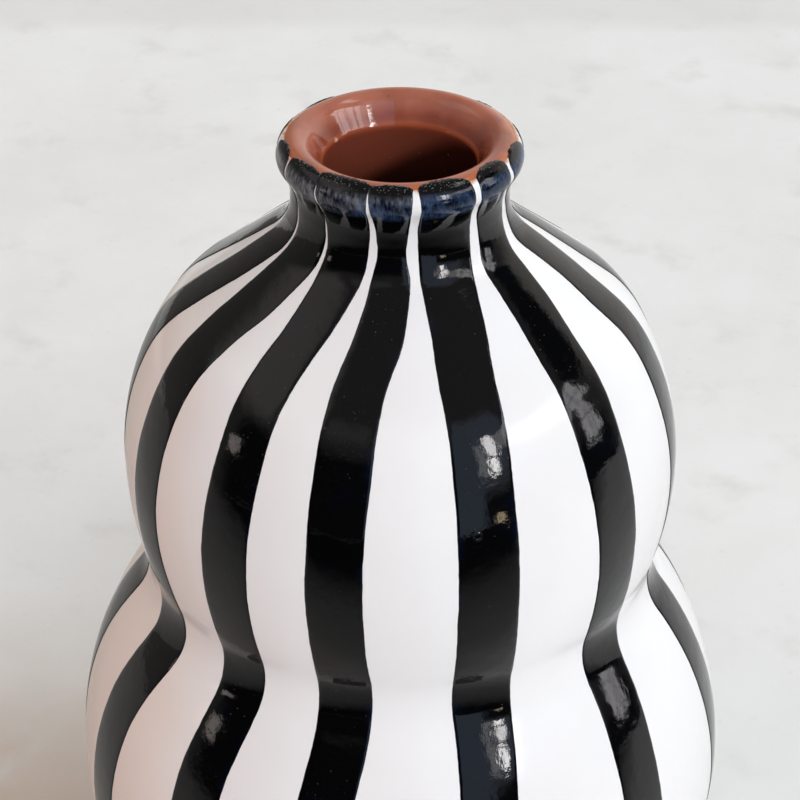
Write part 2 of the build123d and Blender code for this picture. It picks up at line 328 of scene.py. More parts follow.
def blend_colour(tree, share, first, second):
    """Two colours mixed by a share from 0 to 1."""
    return put(tree, "ShaderNodeMix", {0: share, 6: first, 7: second}, data_type="RGBA").outputs[2]


def relief(tree, height, depth, under=None):
    """Bump of a real depth in metres, on top of another bump."""
    plugs = {"Strength": 1.0, "Distance": depth, "Height": height}
    if under:
        plugs["Normal"] = under
    return put(tree, "ShaderNodeBump", plugs).outputs[0]


clay, nodes, skin = new_finish("bare_red_clay", Roughness=0.85)
where = put(nodes, "ShaderNodeTexCoord").outputs["Object"]
clay_tone = spread(nodes, noise(nodes, where, 90, 4), -0.25, 0.25)
grog = spread(nodes, noise(nodes, where, 1900, 1, 4), 0.16, 0.24)
clay_colour = blend_colour(nodes, clay_tone, (0.36, 0.13, 0.07, 1), (0.47, 0.19, 0.11, 1))
clay_colour = blend_colour(nodes, grog, clay_colour, (0.55, 0.33, 0.22, 1))
nodes.links.new(clay_colour, skin["Base Color"])
turning = noise(nodes, pair(nodes, "MULTIPLY", where, (30, 30, 1400)), 1, 2, 2)
clay_bump = relief(nodes, noise(nodes, where, 1300, 3), grog_depth)
nodes.links.new(relief(nodes, turning, turning_depth, clay_bump), skin["Normal"])
for node_name in clay_nodes:
    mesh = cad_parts[node_name].data
    mesh.materials.clear()
    mesh.materials.append(clay)

# White glaze: an opaque tin-white gloss, dipped or poured over the outside and wiped off the foot.
# It ends in a soft, slightly wavering edge on the outer top of the rim.
glaze = 0.5 * mm
white_end_angle = 60
bare_foot = 3.0 * mm
foot_taper = 0.9 * mm
rim_taper = 0.7 * mm
foot_waver = 2.2 * mm
foot_tilt = 1.4 * mm
foot_seed = 11.0
# Painted warm shade on the white: full at the first distance left of the axis, gone at the second.
painted_warm_shade_full = -62 * mm
painted_warm_shade_none = -28 * mm
white_points = [p for p in outside if p[1] > foot_height + bare_foot]
white_points += [p for p in mouth[1:] if p[2] <= white_end_angle]


def tapered(points, start_length, end_length, full):
    """Skins that rise from nothing over a length at the start and fall to nothing at the end."""
    path = [0.0]
    for (r0, z0, _), (r1, z1, _) in zip(points, points[1:]):
        path.append(path[-1] + math.hypot(r1 - r0, z1 - z0))
    skins = []
    for at in path:
        share = 1.0
        for left, length in ((at, start_length), (path[-1] - at, end_length)):
            if length and left < length:
                share = min(share, math.sqrt(1 - (1 - left / length) ** 2))
        skins.append(full * share)
    return skins, path


white_skins, white_path = tapered(white_points, foot_taper, rim_taper, glaze)
white_length = white_path[-1]
edge_reach = 6 * mm
foot_drift = [max(0.0, 1 - at / edge_reach) for at in white_path]
rim_reach = 3 * mm
rim_share = 0.5
rim_drift = [max(0.0, 1 - (white_length - at) / rim_reach) for at in white_path]
white_drifts = [a + rim_share * b for a, b in zip(foot_drift, rim_drift)]
thin_reach = 2 * mm
white_thins = [max(0.0, 1 - min(at, white_length - at) / thin_reach) for at in white_path]

white, nodes, skin = new_finish("white_gloss_glaze", Roughness=0.13, IOR=1.5)
where = put(nodes, "ShaderNodeTexCoord").outputs["Object"]
pool = spread(nodes, noise(nodes, where, 28, 3, 1), -0.3, 0.3)
white_colour = blend_colour(nodes, pool, (0.86, 0.855, 0.85, 1), (0.82, 0.81, 0.80, 1))
# Painted warm shade: the white is tinted warm towards the left, the side turned away from the windows.
to_left = put(nodes, "ShaderNodeSeparateXYZ", {0: where}).outputs["X"]
to_left = reckon(nodes, "ADD", to_left, reckon(nodes, "MULTIPLY", noise(nodes, where, 45, 4, 8), 30 * mm))
painted_warm_shade = spread(nodes, to_left, painted_warm_shade_full, painted_warm_shade_none, 0.9, 0.0)
white_colour = blend_colour(nodes, painted_warm_shade, white_colour, (0.87, 0.755, 0.68, 1))
pits = put(nodes, "ShaderNodeTexVoronoi", {"Vector": where, "Scale": 115.0, "Randomness": 1.0}, feature="F1")
pit_size = reckon(nodes, "MULTIPLY", spread(nodes, noise(nodes, where, 60, 1, 7), 0.02, 0.3), 0.04)
pit = spread(nodes, reckon(nodes, "SUBTRACT", pits.outputs["Distance"], pit_size), 0.0, 0.012, 1.0, 0.0)
pit = reckon(nodes, "MULTIPLY", pit, reckon(nodes, "GREATER_THAN", pit_size, 0.004))
white_colour = blend_colour(nodes, pit, white_colour, (0.30, 0.20, 0.15, 1))
edge = put(nodes, "ShaderNodeAttribute", attribute_name="thin").outputs["Fac"]
edge = spread(nodes, reckon(nodes, "ADD", edge, noise(nodes, where, 500, 2)), 0.45, 1.0)
white_colour = blend_colour(nodes, edge, white_colour, (0.52, 0.20, 0.075, 1))
nodes.links.new(white_colour, skin["Base Color"])
ripple = relief(nodes, noise(nodes, where, 170, 2, 5), 0.05 * mm)
ripple = relief(nodes, noise(nodes, where, 650, 2, 6), 0.008 * mm, ripple)
nodes.links.new(relief(nodes, pit, -0.05 * mm, ripple), skin["Normal"])
white_front = lifted(white_points, white_skins)
wiped = {"waver": foot_waver, "tilt": foot_tilt, "seed": foot_seed, "drifts": white_drifts}
white_coat = turn_on_wheel("white_coat", white_front, white_points, white, thins=white_thins, **wiped)
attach(white_coat, "root")
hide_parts("white_glaze")

# Clear glaze: a thin transparent gloss over the red clay, on the crown of the rim, down the funnel
# and the throat and all over the inside, so that the vase holds water. The white laps over its edge.
clear_start_angle = 40
crown = [p for p in mouth if p[2] > clear_start_angle]
neck_level = follow(slope_top[:2], slope_angle, neck_steps[:2])[-1][1]
floor_level = foot_recess_depth + floor_thickness
corner_level = floor_level + floor_corner
corner_reach = belly - wall - floor_corner
belly_centre = lower_bulb_radius - belly
corner_x = belly_centre + math.sqrt(corner_reach**2 - (lower_bulb_height - corner_level) ** 2)
corner_angle = math.degrees(math.atan2(corner_level - lower_bulb_height, corner_x - belly_centre))
inner_steps = [
    (None, crown[-1][1] - neck_level),
    (neck_sweep + wall, 180 + slope_angle),
    (None, slope_run),
    (-(shoulder - wall), 180 + dome_angle),
    (-(dome - wall), 180),
    (-(upper_belly - wall), 180 - lift_angle),
    (waist_hollow + wall, 180 + waist_angle),
    (-(lower_shoulder - wall), 180),
    (-(belly - wall), 180 + corner_angle),
    (-floor_corner, 90),
    (None, corner_x),
]
lining_spacing = 1.6 * mm
lined = crown + follow(crown[-1][:2], 180, inner_steps, lining_spacing)[1:]
clear_rise = 3.0 * mm
clear_skins, clear_path = tapered(lined, clear_rise, 0, glaze)
under_white = 0.12 * mm
lap = 2.6 * mm
clear_skins = [s - under_white * max(0.0, 1 - at / lap) for s, at in zip(clear_skins, clear_path)]
crown_thin = 5 * mm
clear_thins = [max(0.0, 1 - at / crown_thin) for at in clear_path]

fleck_place = (-12.5 * mm, 8.0 * mm, 200.8 * mm)
throat_level = crown[-1][1]
# The painted shade deep in the throat starts lower on the left wall, which faces the windows, by this share
# of the distance across.
away_from_window = 0.6
clear, nodes, skin = new_finish("clear_gloss_on_red_clay", Roughness=0.07, IOR=1.6)
where = put(nodes, "ShaderNodeTexCoord").outputs["Object"]
cloud = spread(nodes, noise(nodes, where, 110, 4, 2), -0.22, 0.22)
clear_colour = blend_colour(nodes, cloud, (0.17, 0.034, 0.017, 1), (0.28, 0.062, 0.031, 1))
depth = put(nodes, "ShaderNodeSeparateXYZ", {0: where}).outputs["Z"]
on_crown = spread(nodes, depth, throat_level + 2.0 * mm, throat_level + 4.5 * mm)
crown_colour = blend_colour(nodes, cloud, (0.29, 0.085, 0.052, 1), (0.40, 0.135, 0.085, 1))
clear_colour = blend_colour(nodes, on_crown, clear_colour, crown_colour)
# Painted shade inside the throat: the clear glaze darkens just below the throat edge, and darker still
# further down.
painted_throat_shade = spread(nodes, depth, throat_level - 0.8 * mm, throat_level + 0.1 * mm, 1.0, 0.0)
clear_colour = blend_colour(nodes, painted_throat_shade, clear_colour, (0.16, 0.038, 0.021, 1))
sideways = put(nodes, "ShaderNodeSeparateXYZ", {0: where}).outputs["X"]
lit_depth = reckon(nodes, "SUBTRACT", depth, reckon(nodes, "MULTIPLY", sideways, away_from_window))
painted_deep_shade = spread(nodes, lit_depth, throat_level - 10.0 * mm, throat_level - 4.5 * mm, 1.0, 0.0)
clear_colour = blend_colour(nodes, painted_deep_shade, clear_colour, (0.030, 0.007, 0.004, 1))
# Painted highlight: a brighter orange band along the ledge just above the throat edge, where light catches
# it.
over_ledge = reckon(nodes, "ABSOLUTE", reckon(nodes, "SUBTRACT", depth, throat_level + 0.7 * mm))
painted_ledge_glow = spread(nodes, over_ledge, 0.2 * mm, 0.8 * mm, 0.6, 0.0)
clear_colour = blend_colour(nodes, painted_ledge_glow, clear_colour, (0.36, 0.085, 0.032, 1))
fresh = put(nodes, "ShaderNodeAttribute", attribute_name="thin").outputs["Fac"]
fresh = spread(nodes, reckon(nodes, "ADD", fresh, noise(nodes, where, 220, 3, 5)), 0.35, 0.85)
clear_colour = blend_colour(nodes, fresh, clear_colour, (0.42, 0.125, 0.048, 1))
speck = put(nodes, "ShaderNodeTexVoronoi", {"Vector": where, "Scale": 420.0}).outputs["Distance"]
speck = spread(nodes, speck, 0.05, 0.1, 1.0, 0.0)
clear_colour = blend_colour(nodes, speck, clear_colour, (0.16, 0.06, 0.04, 1))
fleck = pair(nodes, "DISTANCE", where, fleck_place, "Value")
fleck = reckon(nodes, "ADD", fleck, reckon(nodes, "MULTIPLY", noise(nodes, where, 900, 2, 3), 1.2 * mm))
fleck = spread(nodes, fleck, 0.5 * mm, 0.8 * mm, 0.8, 0.0)
clear_colour = blend_colour(nodes, fleck, clear_colour, (0.66, 0.42, 0.27, 1))
nodes.links.new(clear_colour, skin["Base Color"])
ripple = relief(nodes, noise(nodes, where, 240, 2, 5), 0.05 * mm)
nodes.links.new(relief(nodes, noise(nodes, where, 900, 2, 6), 0.01 * mm, ripple), skin["Normal"])
clear_front = lifted(lined, clear_skins)
clear_coat = turn_on_wheel("clear_lining", clear_front, lined, clear, thins=clear_thins)
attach(clear_coat, "root")
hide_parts("inner_glaze")

# Black bands: thirteen strokes of blue-black glaze, each laid with one pull of a flat brush from
# the rim to the foot. The stroke starts as a round head on the crown of the rim.
bubble_place = (14.8 * mm, -54.1 * mm, 148.5 * mm)
bubble_radius = 0.7 * mm
band_glaze = 0.22 * mm
band_sink = 0.12 * mm
brush_reach = 50 * mm
heel_depth = 3.5 * mm
head_depth = 2.6 * mm
flat_head = 1.3 * mm
flat_headed = (2, 3, 4)
stroke_rows = 560
stroke_columns = 26
edge_wander = 1.0 * mm
edge_nicks = 0.25 * mm
head_fringe = 2.4
fringe_reach = 2.5 * mm

stroke, given, end = geometry_tree(
    "brush_stroke",
    [
        ("Wall", "Object"), ("Rows", "Int"), ("Columns", "Int"), ("Glaze", "Float"), ("Sink", "Float"),
        ("Brush Reach", "Float"), ("Head", "Float"), ("Heel", "Float"), ("Wander", "Float"),
        ("Nicks", "Float"), ("Seed", "Float"), ("Material", "Material"),
    ],
)
row_points = reckon(stroke, "ADD", given["Rows"], 1.0)
column_points = reckon(stroke, "ADD", given["Columns"], 1.0)
grid_plugs = {"Vertices X": column_points, "Vertices Y": row_points}
stroke_grid = put(stroke, "GeometryNodeMeshGrid", grid_plugs).outputs["Mesh"]
stroke_grid = put(stroke, "GeometryNodeFlipFaces", {"Mesh": stroke_grid}).outputs["Mesh"]
index = stroke.nodes.new("GeometryNodeInputIndex").outputs[0]
row = reckon(stroke, "MODULO", index, row_points)
column = reckon(stroke, "FLOOR", reckon(stroke, "DIVIDE", reckon(stroke, "ADD", index, 0.5), row_points))
along = reckon(stroke, "MULTIPLY", reckon(stroke, "DIVIDE", row, given["Rows"]), math.pi)
along = reckon(stroke, "MULTIPLY", reckon(stroke, "SUBTRACT", 1.0, reckon(stroke, "COSINE", along)), 0.5)
around = reckon(stroke, "MULTIPLY", reckon(stroke, "DIVIDE", column, given["Columns"]), 2 * math.pi)
across = reckon(stroke, "COSINE", around)
rise = reckon(stroke, "SINE", around)

guide = put(stroke, "GeometryNodeMeshToCurve", {"Mesh": given["Geometry"]}).outputs[0]
guide = put(stroke, "GeometryNodeCurveSplineType", {"Curve": guide}, spline_type="CATMULL_ROM").outputs[0]


def along_guide(share):
    """Place and half width of the stroke at a share of its length."""
    half = stored(stroke, "half_width", "FLOAT")
    plugs = {"Curves": guide, "Value": half, "Factor": share}
    settings = {"mode": "FACTOR", "data_type": "FLOAT", "use_all_curves": True}
    return put(stroke, "GeometryNodeSampleCurve", plugs, **settings).outputs


sampled = along_guide(along)
brush = put(stroke, "ShaderNodeSeparateXYZ", {0: sampled["Position"]}).outputs
half_width = sampled["Value"]
azimuth = reckon(stroke, "DIVIDE", brush["X"], given["Brush Reach"])
end_places = [along_guide(at)["Position"] for at in (0.0, 1.0)]
ends = [put(stroke, "ShaderNodeSeparateXYZ", {0: end_place}).outputs["Y"] for end_place in end_places]


def rounded_end(distance, depth):
    """Share of the width at a distance from a round end of the stroke."""
    left = reckon(stroke, "SUBTRACT", 1.0, reckon(stroke, "DIVIDE", distance, depth))
    left = put(stroke, "ShaderNodeClamp", {"Value": left}).outputs[0]
    return reckon(stroke, "SQRT", reckon(stroke, "SUBTRACT", 1.0, reckon(stroke, "MULTIPLY", left, left)))


heel = rounded_end(reckon(stroke, "SUBTRACT", brush["Y"], ends[0]), given["Heel"])
head = rounded_end(reckon(stroke, "SUBTRACT", ends[1], brush["Y"]), given["Head"])
shape = reckon(stroke, "MULTIPLY", heel, head)
side = reckon(stroke, "SIGN", across)
edge_place = put(stroke, "ShaderNodeCombineXYZ", {"X": brush["Y"], "Y": side}).outputs[0]
edge_noise = reckon(stroke, "MULTIPLY", noise(stroke, edge_place, 60, 4, given["Seed"], 0.6), given["Wander"])
edge_share = reckon(stroke, "MULTIPLY", across, across)
lateral = reckon(stroke, "MULTIPLY", reckon(stroke, "MULTIPLY", across, half_width), shape)
nicks = reckon(stroke, "MULTIPLY", noise(stroke, edge_place, 420, 3, given["Seed"], 0.6), given["Nicks"])
edge_noise = reckon(stroke, "ADD", edge_noise, nicks)
edge_noise = reckon(stroke, "MULTIPLY", edge_noise, reckon(stroke, "MULTIPLY", edge_share, shape))
lateral = reckon(stroke, "ADD", lateral, edge_noise)

ragged_place = put(stroke, "ShaderNodeCombineXYZ", {"X": lateral, "Z": edge_share}).outputs[0]
near_head = spread(stroke, reckon(stroke, "SUBTRACT", ends[1], brush["Y"]), 0.0, fringe_reach, 1.0, 0.0)
ragged = reckon(stroke, "MULTIPLY", noise(stroke, ragged_place, 420, 3, given["Seed"], 0.6), near_head)
kept = reckon(stroke, "MINIMUM", reckon(stroke, "MULTIPLY", shape, 5.0), 1.0)
ragged = reckon(stroke, "MULTIPLY", reckon(stroke, "MULTIPLY", ragged, head_fringe), kept)
on_outline = reckon(stroke, "ADD", brush["Y"], reckon(stroke, "MULTIPLY", ragged, given["Wander"]))
wall_curve = put(stroke, "GeometryNodeObjectInfo", {"Object": given["Wall"]}).outputs["Geometry"]
wall_curve = put(stroke, "GeometryNodeMeshToCurve", {"Mesh": wall_curve}).outputs[0]
wall_plugs = {"Curves": wall_curve, "Length": on_outline}
on_wall = put(stroke, "GeometryNodeSampleCurve", wall_plugs, mode="LENGTH", use_all_curves=True).outputs
wall_point = put(stroke, "ShaderNodeSeparateXYZ", {0: on_wall["Position"]}).outputs
wall_way = put(stroke, "ShaderNodeSeparateXYZ", {0: on_wall["Tangent"]}).outputs
bulge = reckon(stroke, "POWER", reckon(stroke, "ABSOLUTE", rise), 0.6)
is_top = reckon(stroke, "GREATER_THAN", rise, 0.0)
top_skin = reckon(stroke, "MULTIPLY", is_top, given["Glaze"])
under_skin = reckon(stroke, "MULTIPLY", reckon(stroke, "SUBTRACT", is_top, 1.0), given["Sink"])
skin_height = reckon(stroke, "MULTIPLY", reckon(stroke, "ADD", top_skin, under_skin), bulge)
skin_height = reckon(stroke, "MULTIPLY", skin_height, reckon(stroke, "SQRT", shape))
radius = reckon(stroke, "ADD", wall_point["X"], reckon(stroke, "MULTIPLY", skin_height, wall_way["Z"]))
height = reckon(stroke, "SUBTRACT", wall_point["Z"], reckon(stroke, "MULTIPLY", skin_height, wall_way["X"]))
turn = reckon(stroke, "ADD", azimuth, reckon(stroke, "DIVIDE", lateral, wall_point["X"]))
stroke_place = swing(stroke, radius, turn, height)
stroke_pattern = put(stroke, "ShaderNodeCombineXYZ", {"X": lateral, "Y": brush["Y"], "Z": across}).outputs[0]
stroke_marks = [("stroke", "FLOAT_VECTOR", stroke_pattern)]
finish_surface(stroke, stroke_grid, stroke_place, given["Material"], stroke_marks, end["Geometry"])

# What the strokes are laid on: the outline of the white glaze, with its lengths from the foot up.
glazed = lifted(outline, glaze)
wall_guide = bpy.data.meshes.new("glazed_outline")
wall_guide.from_pydata([(r, 0, z) for r, z, _ in glazed], [(k, k + 1) for k in range(len(glazed) - 1)], [])
wall_guide = bpy.data.objects.new("glazed_outline", wall_guide)
bpy.context.scene.collection.objects.link(wall_guide)
glazed_path = tapered(glazed, 0, 0, 0)[1]
roll_length = next(at for at, p in zip(glazed_path, glazed) if p[1] > rim_start[1] and p[2] >= 0)


def length_at(height):
    """Length along the glazed outline from the foot up to a height below the rim's crown."""
    for k, (_, z, _) in enumerate(glazed):
        if z >= height:
            share = (height - glazed[k - 1][1]) / (z - glazed[k - 1][1])
            return glazed_path[k - 1] + share * (glazed_path[k] - glazed_path[k - 1])


# Heights of the stations of a stroke, in millimetres over the table. The last two are the outermost
# ring of the rolled rim and the top of the head, whose reach past that ring is each band's own.
station_heights = (9, 55, 84, 104, 133, 158, 172, 179, 186, 192)
roll_station = roll_length
# For each band: its azimuths in degrees and its widths in millimetres at the stations, and its reach
bands = (
    ((-91, -92, -91.5, -89, -91, -90.5, -88, -84, -80.5, -79, -79, -79),
     (10, 12, 12, 11.8, 11.8, 11, 10.6, 10, 9.4, 9, 10, 10), 3.9),
    ((-65, -66, -65, -60.7, -63.3, -63, -62, -58.7, -55.5, -53.5, -53.9, -54),
     (10, 12, 12.4, 12.2, 11.7, 11, 11.4, 11.4, 10.2, 9.2, 9.8, 9.8), 4.6),
    ((-38, -39, -38.6, -35.6, -36.8, -36, -35.2, -32, -29.2, -28, -28.4, -29.2),
     (10, 11.9, 11.7, 10.8, 11.5, 10.8, 10, 9.6, 9.4, 9.1, 11.1, 10.8), 5.6),
    ((-13, -14, -13.8, -11.5, -12.8, -12.3, -11, -7.2, -4.4, -4.1, -4.2, -4.6),
     (10, 11.8, 11.7, 11, 11.4, 11.3, 10.3, 9.6, 7.8, 5.6, 8.3, 8.5), 4.9),
    ((16, 15.6, 16.2, 17.4, 17.4, 17.6, 18.6, 20.5, 22.6, 23.8, 23.1, 21.1),
     (10.5, 12.4, 12.2, 12.4, 12.6, 11.8, 11.3, 11.2, 11.2, 11.1, 11.5, 9.8), 5.7),
    ((47, 47, 48.1, 49.2, 48.7, 47.9, 49.8, 52.4, 54.6, 56.1, 50.7, 52.2),
     (10, 11.8, 11.7, 11.8, 12, 11.9, 11.4, 11.1, 10, 8.9, 9.4, 8.4), 5.4),
    ((79, 80, 80, 80.5, 80, 80, 83, 85.6, 86, 86.5, 77, 77),
     (10, 11.6, 11.6, 11.4, 11.8, 11, 10.4, 9.6, 9.4, 9.2, 10.4, 10.2), 4.0),
    ((107, 106, 107, 108, 107, 108, 110, 112, 113, 113, 104, 104),
     (10, 11.9, 11.5, 11.3, 11.7, 11.2, 10.7, 10.2, 9.8, 9.6, 11, 10.8), 2.2),
    ((134, 134, 133, 134, 134, 135, 137, 139, 141, 141, 134, 134),
     (10, 12.1, 12, 11.8, 12.1, 11.6, 10.9, 10.3, 9.7, 9.5, 11.2, 11), 2.2),
    ((160, 161, 160, 161, 160, 161, 163, 166, 168, 169, 164, 163),
     (10, 11.6, 11.5, 11.1, 11.6, 11, 10.5, 10, 9.6, 9.5, 11, 10.8), 2.1),
    ((187, 188, 188, 186, 187, 187, 190, 193, 196, 197, 193, 194),
     (10, 12.2, 11.9, 11.7, 12, 11.5, 10.8, 10.2, 9.7, 9.6, 11.1, 10.9), 2.2),
    ((215, 214, 215, 216, 215, 216, 219, 222, 225, 226, 223, 223),
     (10, 11.8, 11.7, 11.4, 11.8, 11.2, 10.7, 10.3, 9.8, 9.6, 11, 11), 2.9),
    ((242, 242, 243, 243, 242, 243, 246, 250, 253, 254, 253, 252),
     (10, 12, 11.8, 11.5, 12, 11.4, 10.8, 10.2, 9.7, 9.4, 10.9, 10.7), 2.6),
)

black, nodes, skin = new_finish("blue_black_brushed_glaze", IOR=1.45)
mark = put(nodes, "ShaderNodeAttribute", attribute_name="stroke").outputs["Vector"]
where = put(nodes, "ShaderNodeTexCoord").outputs["Object"]
mark_parts = put(nodes, "ShaderNodeSeparateXYZ", {0: mark}).outputs
hairs = noise(nodes, pair(nodes, "MULTIPLY", mark, (1900, 520, 0)), 1, 4, 1, 0.65)
grain = noise(nodes, pair(nodes, "MULTIPLY", mark, (1100, 420, 0)), 1, 5, 4, 0.7)
patches = noise(nodes, where, 130, 3, 8)
on_roll = spread(nodes, mark_parts["Y"], roll_station - 4.0 * mm, roll_station - 1.8 * mm)
past_roll = spread(nodes, mark_parts["Y"], roll_station + 1.0 * mm, roll_station + 2.8 * mm, 1.0, 0.0)
thin_roll = reckon(nodes, "MULTIPLY", on_roll, past_roll)
edge_side = spread(nodes, reckon(nodes, "ABSOLUTE", mark_parts["Z"]), 0.7, 1.0)
mottle = reckon(nodes, "ADD", reckon(nodes, "MULTIPLY", hairs, 0.6), reckon(nodes, "ADD", grain, patches))
streaks = spread(nodes, mottle, -0.20, 0.26)
black_base = (0.0012, 0.0013, 0.0016, 1)
black_colour = blend_colour(nodes, spread(nodes, patches, 0.05, 0.3), black_base, (0.0016, 0.0024, 0.006, 1))
navy_edge = reckon(nodes, "MULTIPLY", edge_side, spread(nodes, patches, -0.02, 0.22))
black_colour = blend_colour(nodes, navy_edge, black_colour, (0.002, 0.0042, 0.013, 1))
# On the rolled rim the brushed glaze is thin and shows navy and grey. This is partly its real colour and
# partly a painted sheen, greyer towards the top of the roll and towards the left, where it mirrors the lit
# side of the room.
over_roll = reckon(nodes, "MULTIPLY", reckon(nodes, "SUBTRACT", mark_parts["Y"], roll_station), 60.0)
leftward = put(nodes, "ShaderNodeSeparateXYZ", {0: where}).outputs["X"]
leftward = reckon(nodes, "MULTIPLY", reckon(nodes, "ADD", leftward, 6 * mm), -22.0)
greyness_and_sheen = reckon(nodes, "ADD", reckon(nodes, "ADD", noise(nodes, where, 100, 3, 12), over_roll), leftward)
greyness_and_sheen = spread(nodes, greyness_and_sheen, -0.14, 0.20)
pale_glaze_and_sheen = blend_colour(nodes, greyness_and_sheen, (0.040, 0.080, 0.17, 1), (0.22, 0.23, 0.24, 1))
roll_colour = blend_colour(nodes, streaks, (0.002, 0.0042, 0.013, 1), pale_glaze_and_sheen)
black_colour = blend_colour(nodes, reckon(nodes, "MULTIPLY", thin_roll, 0.9), black_colour, roll_colour)
on_head = spread(nodes, mark_parts["Y"], roll_station + 2.2 * mm, roll_station + 3.6 * mm)
crystal_size = reckon(nodes, "ADD", 0.07, reckon(nodes, "MULTIPLY", on_head, 0.16))
crystals = put(nodes, "ShaderNodeTexVoronoi", {"Vector": where, "Scale": 1900.0}).outputs["Distance"]
crystals = reckon(nodes, "LESS_THAN", crystals, crystal_size)
crystal_field = reckon(nodes, "MULTIPLY", on_head, 0.15)
crystal_field = reckon(nodes, "ADD", noise(nodes, where, 70, 3, 9), crystal_field)
crystal_field = spread(nodes, crystal_field, -0.12, 0.20)
crystals = reckon(nodes, "MULTIPLY", crystals, crystal_field)
shown_crystals = reckon(nodes, "MULTIPLY", crystals, 0.6)
black_colour = blend_colour(nodes, shown_crystals, black_colour, (0.20, 0.19, 0.18, 1))
pinholes = put(nodes, "ShaderNodeTexVoronoi", {"Vector": where, "Scale": 620.0}).outputs["Distance"]
pinholes = reckon(nodes, "LESS_THAN", pinholes, 0.07)
pinhole_field = spread(nodes, noise(nodes, where, 55, 2, 14), -0.06, 0.14, 0.0, 0.65)
pinholes = reckon(nodes, "MULTIPLY", pinholes, pinhole_field)
black_colour = blend_colour(nodes, pinholes, black_colour, (0.11, 0.11, 0.115, 1))
nodes.links.new(black_colour, skin["Base Color"])
gloss = reckon(nodes, "MULTIPLY", thin_roll, reckon(nodes, "MULTIPLY", streaks, 0.22))
gloss = reckon(nodes, "ADD", 0.05, gloss)
nodes.links.new(gloss, skin["Roughness"])
brush_bump = relief(nodes, noise(nodes, where, 150, 2, 3), 0.13 * mm)
brush_bump = relief(nodes, noise(nodes, where, 420, 3, 6, 0.6), 0.04 * mm, brush_bump)
brush_bump = relief(nodes, hairs, 0.009 * mm, brush_bump)
from_bubble = pair(nodes, "DISTANCE", where, bubble_place, "Value")
bubble = reckon(nodes, "ABSOLUTE", reckon(nodes, "SUBTRACT", from_bubble, bubble_radius))
brush_bump = relief(nodes, spread(nodes, bubble, 0.0, 0.35 * mm, 1.0, 0.0), 0.06 * mm, brush_bump)
nodes.links.new(relief(nodes, crystals, 0.008 * mm, brush_bump), skin["Normal"])

for number, (azimuths, widths, reach) in enumerate(bands, 1):
    lengths = [length_at(h * mm) for h in station_heights] + [roll_station, roll_station + reach * mm]
    guide_points = [(math.radians(a) * brush_reach, at, 0.0) for a, at in zip(azimuths, lengths)]
    half_widths = [w * mm / 2 for w in widths]
    values = {
        "Wall": wall_guide, "Rows": stroke_rows, "Columns": stroke_columns,
        "Glaze": band_glaze, "Sink": band_sink, "Brush Reach": brush_reach,
        "Head": flat_head if number in flat_headed else head_depth, "Heel": heel_depth,
        "Wander": edge_wander, "Nicks": edge_nicks,
        "Seed": 3.7 * number, "Material": black,
    }
    marks = [("half_width", "FLOAT", half_widths)]
    band = made_by(stroke, f"brush_band_{number:02d}", guide_points, marks, **values)
    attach(band, "root")
    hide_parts(f"black_band_{number:02d}")
bpy.data.objects.remove(wall_guide)

# The studio floor: pale trowelled plaster, with faint blotches, dust, a painted warm shadow at the left of
# the vase and a greyer strip far behind it. It is only the ground of the picture.
floor_size = 1.25
painted_shadow_place = (-120 * mm, -20 * mm, 0)
floor_mesh = bpy.data.meshes.new("floor")
corners = [(floor_size * x, floor_size * y, 0) for x, y in ((-1, -1), (1, -1), (1, 1), (-1, 1))]
floor_mesh.from_pydata(corners, [], [(0, 1, 2, 3)])
floor = bpy.data.objects.new("floor", floor_mesh)
bpy.context.scene.collection.objects.link(floor)
plaster, nodes, skin = new_finish("pale_plaster", Roughness=0.75)
where = put(nodes, "ShaderNodeTexCoord").outputs["Object"]
stain = spread(nodes, noise(nodes, where, 9, 5, 1, 0.6), -0.25, 0.25)
plaster_colour = blend_colour(nodes, stain, (0.71, 0.70, 0.685, 1), (0.79, 0.785, 0.775, 1))
far_waver = reckon(nodes, "MULTIPLY", noise(nodes, where, 20, 3, 9), 12 * mm)
far_line = reckon(nodes, "ADD", put(nodes, "ShaderNodeSeparateXYZ", {0: where}).outputs["Y"], far_waver)
far_shade = spread(nodes, far_line, 495 * mm, 515 * mm, 0.0, 0.35)
plaster_colour = blend_colour(nodes, far_shade, plaster_colour, (0.58, 0.565, 0.555, 1))
# Painted shadow: the floor darkens and warms beside the vase on its left, where the vase's soft shadow falls.
from_painted_shadow = pair(nodes, "DISTANCE", where, painted_shadow_place, "Value")
from_painted_shadow = reckon(nodes, "ADD", from_painted_shadow, reckon(nodes, "MULTIPLY", noise(nodes, where, 30, 4, 6), 30 * mm))
painted_warm_shadow = spread(nodes, from_painted_shadow, 40 * mm, 150 * mm, 1.0, 0.0)
plaster_colour = blend_colour(nodes, painted_warm_shadow, plaster_colour, (0.49, 0.39, 0.32, 1))
blotch = spread(nodes, noise(nodes, where, 36, 4, 3, 0.55), 0.02, 0.26, 0.0, 0.6)
plaster_colour = blend_colour(nodes, blotch, plaster_colour, (0.60, 0.585, 0.56, 1))
dust = spread(nodes, noise(nodes, where, 240, 3, 5, 0.6), 0.10, 0.30, 0.0, 0.35)
plaster_colour = blend_colour(nodes, dust, plaster_colour, (0.56, 0.54, 0.51, 1))
nodes.links.new(plaster_colour, skin["Base Color"])
nodes.links.new(relief(nodes, noise(nodes, where, 60, 4), 0.4 * mm), skin["Normal"])
floor_mesh.materials.append(plaster)

